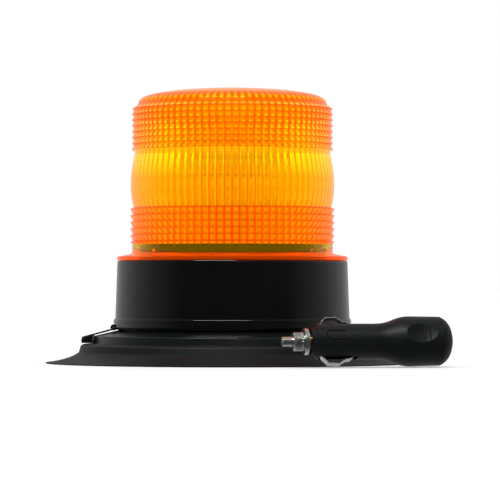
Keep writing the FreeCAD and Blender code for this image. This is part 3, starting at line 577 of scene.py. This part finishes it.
def lensOutside():
    s = lensSizes
    path = [(radius, s["topZ"] - drop) for radius, drop in s["dome"]]
    path.append(s["domeEdge"][0])
    path += arcPoints(*s["domeEdge"], 6)
    path.append(s["domeSeat"])
    for ring in reversed(range(s["upperRings"])):
        z = s["upperFirstZ"] + s["upperPitch"] * ring
        path += [(s["upperTip"], z + s["tipRise"]), (s["upperTip"] - s["tipWidth"], z), (s["upperValley"], z)]
    path.append(s["barrel"][0])
    path += arcPoints(*s["barrel"], 14)
    for ring in reversed(range(s["lowerRings"])):
        z = s["lowerFirstZ"] + s["lowerPitch"] * ring
        path += [(s["lowerValley"], z), (s["lowerTip"] - s["tipWidth"], z), (s["lowerTip"], z - s["tipRise"])]
    path.append((s["bandRadius"], s["bandTopZ"]))
    path += [(s["bandRadius"] + out, s["flangeTopZ"] + rise) for out, rise in s["bandFoot"]]
    path += [(s["flangeRadius"] - s["flangeEdge"], s["flangeTopZ"]),
             (s["flangeRadius"], s["flangeTopZ"] - s["flangeEdge"]), (s["flangeRadius"], s["baseZ"])]
    return path


def lensInside():
    s = lensSizes
    path = [(s["bore"], z) for z in (s["baseZ"], *s["lugZ"], *s["boreStepsZ"])]
    path += arcPoints(*s["innerBarrel"], 8)
    path += s["innerUpper"]
    path += arcPoints(*s["innerEdge"], 3)
    path += [(radius, s["topZ"] - s["wall"] - drop) for radius, drop in s["innerDome"]]
    return path


def insideLimit(z):
    # the inner wall's radius at its widest, so that the outer wall isn't picked
    return next(radius * mm for fromZ, radius in lensSizes["innerReach"] if z > fromZ * mm)


def makeLens():
    s = lensSizes
    sides = s["flutes"] * s["columnsPerFlute"]
    profile = [(radius * mm, z * mm) for radius, z in lensOutside() + lensInside()]
    piece = pullRings("lensShell", sides, profile)
    low, high = (z * mm for z in s["fluteZ"])
    step = 2 * math.pi / sides
    for column, depth in ((0, s["fluteDepth"]), (1, s["fluteShoulder"]), (3, s["fluteShoulder"])):
        # each flute's seam is cut outwards and its sides ease towards it
        def inColumn(co):
            if not low - nearlySame < co.z < high or math.hypot(co.x, co.y) > insideLimit(co.z):
                return False
            index = round(math.atan2(co.y, co.x) / step)
            return index % s["columnsPerFlute"] == column
        selectVertices(piece, inColumn)
        grow = 1.0 + depth / s["fluteBase"]
        bpy.ops.transform.resize(value=(grow, grow, 1), center_override=(0, 0, 0))
    lowLug, highLug = (z * mm for z in s["lugZ"])
    for direction in s["lugAngles"]:
        def onLug(center, normal):
            turn = (math.degrees(math.atan2(center.y, center.x)) - direction + 180) % 360 - 180
            return (abs(turn) < s["lugHalfAngle"] and lowLug < center.z < highLug and
                    math.hypot(center.x, center.y) < insideLimit(center.z))
        selectFaces(piece, onLug)
        bpy.ops.mesh.extrude_region_move(TRANSFORM_OT_translate={"value": (0, 0, 0)})
        shrink = 1.0 - s["lugDepth"] / s["bore"]
        bpy.ops.transform.resize(value=(shrink, shrink, 1), center_override=(0, 0, 0))
    bpy.ops.object.mode_set(mode="OBJECT")
    return piece


def dressLens(piece):
    for zone, top in zoneTops:
        piece.data.materials.append(lensLooks[zone])
    piece.data.materials.append(lensLooks["inside"])
    for face in piece.data.polygons:
        z = face.center.z / mm
        radius = math.hypot(face.center.x, face.center.y)
        if z < lensSizes["insideTopZ"] and radius < insideLimit(face.center.z):
            face.material_index = len(zoneTops)
        else:
            face.material_index = next(index for index, (zone, top) in enumerate(zoneTops) if z < top)


lens = makeLens()
print("lens shell:", len(lens.data.vertices), "vertices")
dressLens(lens)
smoothByAngle(lens, lensSizes["smoothAngle"])
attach(lens, "lens")
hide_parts("lens")
print("lens dressed")


noseCapSizes = {
    "place": (28.2, -120.5, 14.9), "turn": 13.0, "front": 7.0, "back": 13.3, "radius": 5.5, "bore": 4.4,
    "mouth": 3.0, "mouthDepth": 1.6, "chamfer": 0.4, "knurls": 22, "knurlRows": 8, "knurlDepth": 0.6,
    "knurlEdge": 0.9, "outerMargin": 0.05, "rowMargin": 0.01, "smoothAngle": 12,
}


def makeNoseCap():
    s = noseCapSizes
    low, high = s["front"] + s["knurlEdge"], s["back"] - s["knurlEdge"]
    rise = (high - low) / s["knurlRows"]
    rim = s["radius"] - s["chamfer"]
    profile = [(s["mouth"], s["front"] + s["mouthDepth"]), (s["mouth"], s["front"]), (rim, s["front"]),
               (s["radius"], s["front"] + s["chamfer"])]
    profile += [(s["radius"], low + rise * row) for row in range(s["knurlRows"] + 1)]
    profile += [(s["radius"], s["back"] - s["chamfer"]), (rim, s["back"]), (s["bore"], s["back"]),
                (s["bore"], s["front"] + s["mouthDepth"]), (s["mouth"], s["front"] + s["mouthDepth"])]
    sides = 2 * s["knurls"]
    piece = pullRings("noseCap", sides, [(r * mm, z * mm) for r, z in profile], closed=True)

    def inGroove(co):
        # every other corner of the grid goes down, so that small pyramids stay up
        if math.hypot(co.x, co.y) < (s["radius"] - s["outerMargin"]) * mm:
            return False
        row = round((co.z / mm - low) / rise)
        if not 0 < row < s["knurlRows"] or abs(co.z / mm - low - rise * row) > s["rowMargin"]:
            return False
        column = round(math.atan2(co.y, co.x) * sides / (2 * math.pi))
        return (row + column) % 2 == 1
    selectVertices(piece, inGroove)
    shrink = 1.0 - s["knurlDepth"] / s["radius"]
    bpy.ops.transform.resize(value=(shrink, shrink, 1), center_override=(0, 0, 0))
    bpy.ops.object.mode_set(mode="OBJECT")
    piece.rotation_euler = (0, math.radians(90), math.radians(s["turn"]))
    piece.location = tuple(value * mm for value in s["place"])
    return settle(piece, "noseCap")


noseCap = makeNoseCap()
noseCap.data.materials.append(looks["nickel"])
smoothByAngle(noseCap, noseCapSizes["smoothAngle"])
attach(noseCap, "cap")
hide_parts("nose_cap")
print("nose cap:", len(noseCap.data.vertices), "vertices")

# metres, degrees and watts; the front and back values are the world's, along the view
studio = {
    "floorSize": 60.0, "floorColor": (0.93, 0.93, 0.93), "floorRoughness": 0.6, "floorGlow": 0.15,
    "worldColor": (1.0, 1.0, 1.0), "frontY": -0.6, "backY": 0.5,
    "frontLight": 0.35, "backLight": 1.0, "frontGloss": 0.05, "backGloss": 0.5,
    "cameraPlace": (0.0107, -2.013, 0.04575), "cameraPitch": 90.66, "cameraLens": 237.6,
    "cameraSensor": 36.0, "cameraReach": 100.0,
}
# each lamp also lists the kinds of ray that don't see it
keyLamp = {"place": (1.1, -1.5, 0.75), "target": (0, 0, 0.08), "size": (0.9, 1.2), "power": 3,
           "hidden": ("glossy", "transmission")}
rimLamp = {"place": (-0.25, -1.0, 1.5), "target": (0, 0, 0.05), "size": (1.4, 0.3), "power": 22,
           "hidden": ("diffuse", "transmission")}
softSun = {"strength": 1.1, "spread": 50, "tilt": 12}


def makeFloor():
    deselectAll()
    bpy.ops.mesh.primitive_plane_add(size=studio["floorSize"], location=(0, 0, 0))
    floor = settle(bpy.context.object, "floor")
    material, tree, shader = startMaterial("floorPale")
    shader.inputs["Base Color"].default_value = (*studio["floorColor"], 1)
    shader.inputs["Roughness"].default_value = studio["floorRoughness"]
    shader.inputs["Emission Color"].default_value = (1, 1, 1, 1)
    shader.inputs["Emission Strength"].default_value = studio["floorGlow"]
    floor.data.materials.append(material)
    floor.visible_glossy = False


def makeWorld():
    # brighter behind the object, dimmer in reflections, and plain for the camera
    s = studio
    world = bpy.data.worlds.new("studio")
    bpy.context.scene.world = world
    world.use_nodes = True
    tree = world.node_tree
    background = tree.nodes["Background"]
    place = tree.nodes.new("ShaderNodeTexCoord").outputs["Generated"]
    parts = tree.nodes.new("ShaderNodeSeparateXYZ")
    tree.links.new(place, parts.inputs[0])
    depth = addRange(tree, parts.outputs["Y"], s["frontY"], s["backY"], s["frontLight"], s["backLight"])
    path = tree.nodes.new("ShaderNodeLightPath")
    dimmer = addRange(tree, parts.outputs["Y"], s["frontY"], s["backY"], s["frontGloss"], s["backGloss"])
    strength = addFloatMix(tree, path.outputs["Is Glossy Ray"], depth, dimmer)
    strength = addFloatMix(tree, path.outputs["Is Camera Ray"], strength, 1.0)
    tree.links.new(strength, background.inputs["Strength"])
    background.inputs["Color"].default_value = (*s["worldColor"], 1)


def makeLamp(name, values, side=1):
    data = bpy.data.lights.new(name, "AREA")
    data.shape = "RECTANGLE"
    data.size, data.size_y = values["size"]
    data.energy = values["power"]
    lamp = bpy.data.objects.new(name, data)
    bpy.context.scene.collection.objects.link(lamp)
    x, y, z = values["place"]
    lamp.location = (x * side, y, z)
    aim = Vector(values["target"]) - Vector((x * side, y, z))
    lamp.rotation_euler = aim.to_track_quat("-Z", "Y").to_euler()
    for ray in values["hidden"]:
        setattr(lamp, "visible_" + ray, False)


def makeSun():
    data = bpy.data.lights.new("softSun", "SUN")
    data.energy = softSun["strength"]
    data.angle = math.radians(softSun["spread"])
    sun = bpy.data.objects.new("softSun", data)
    bpy.context.scene.collection.objects.link(sun)
    sun.rotation_euler = (math.radians(softSun["tilt"]), 0, 0)
    sun.visible_glossy = False


makeFloor()
makeWorld()
makeLamp("keyLeft", keyLamp, side=-1)
makeLamp("keyRight", keyLamp)
makeLamp("rimStrip", rimLamp)
makeSun()
print("floor, world and lights set")

cameraData = bpy.data.cameras.new("camera")
cameraData.lens = studio["cameraLens"]
cameraData.sensor_width = studio["cameraSensor"]
cameraData.clip_end = studio["cameraReach"]
camera = bpy.data.objects.new("camera", cameraData)
bpy.context.scene.collection.objects.link(camera)
camera.location = studio["cameraPlace"]
camera.rotation_euler = (math.radians(studio["cameraPitch"]), 0, 0)
bpy.context.scene.camera = camera
bpy.context.scene.view_settings.view_transform = "Standard"
print("camera set")
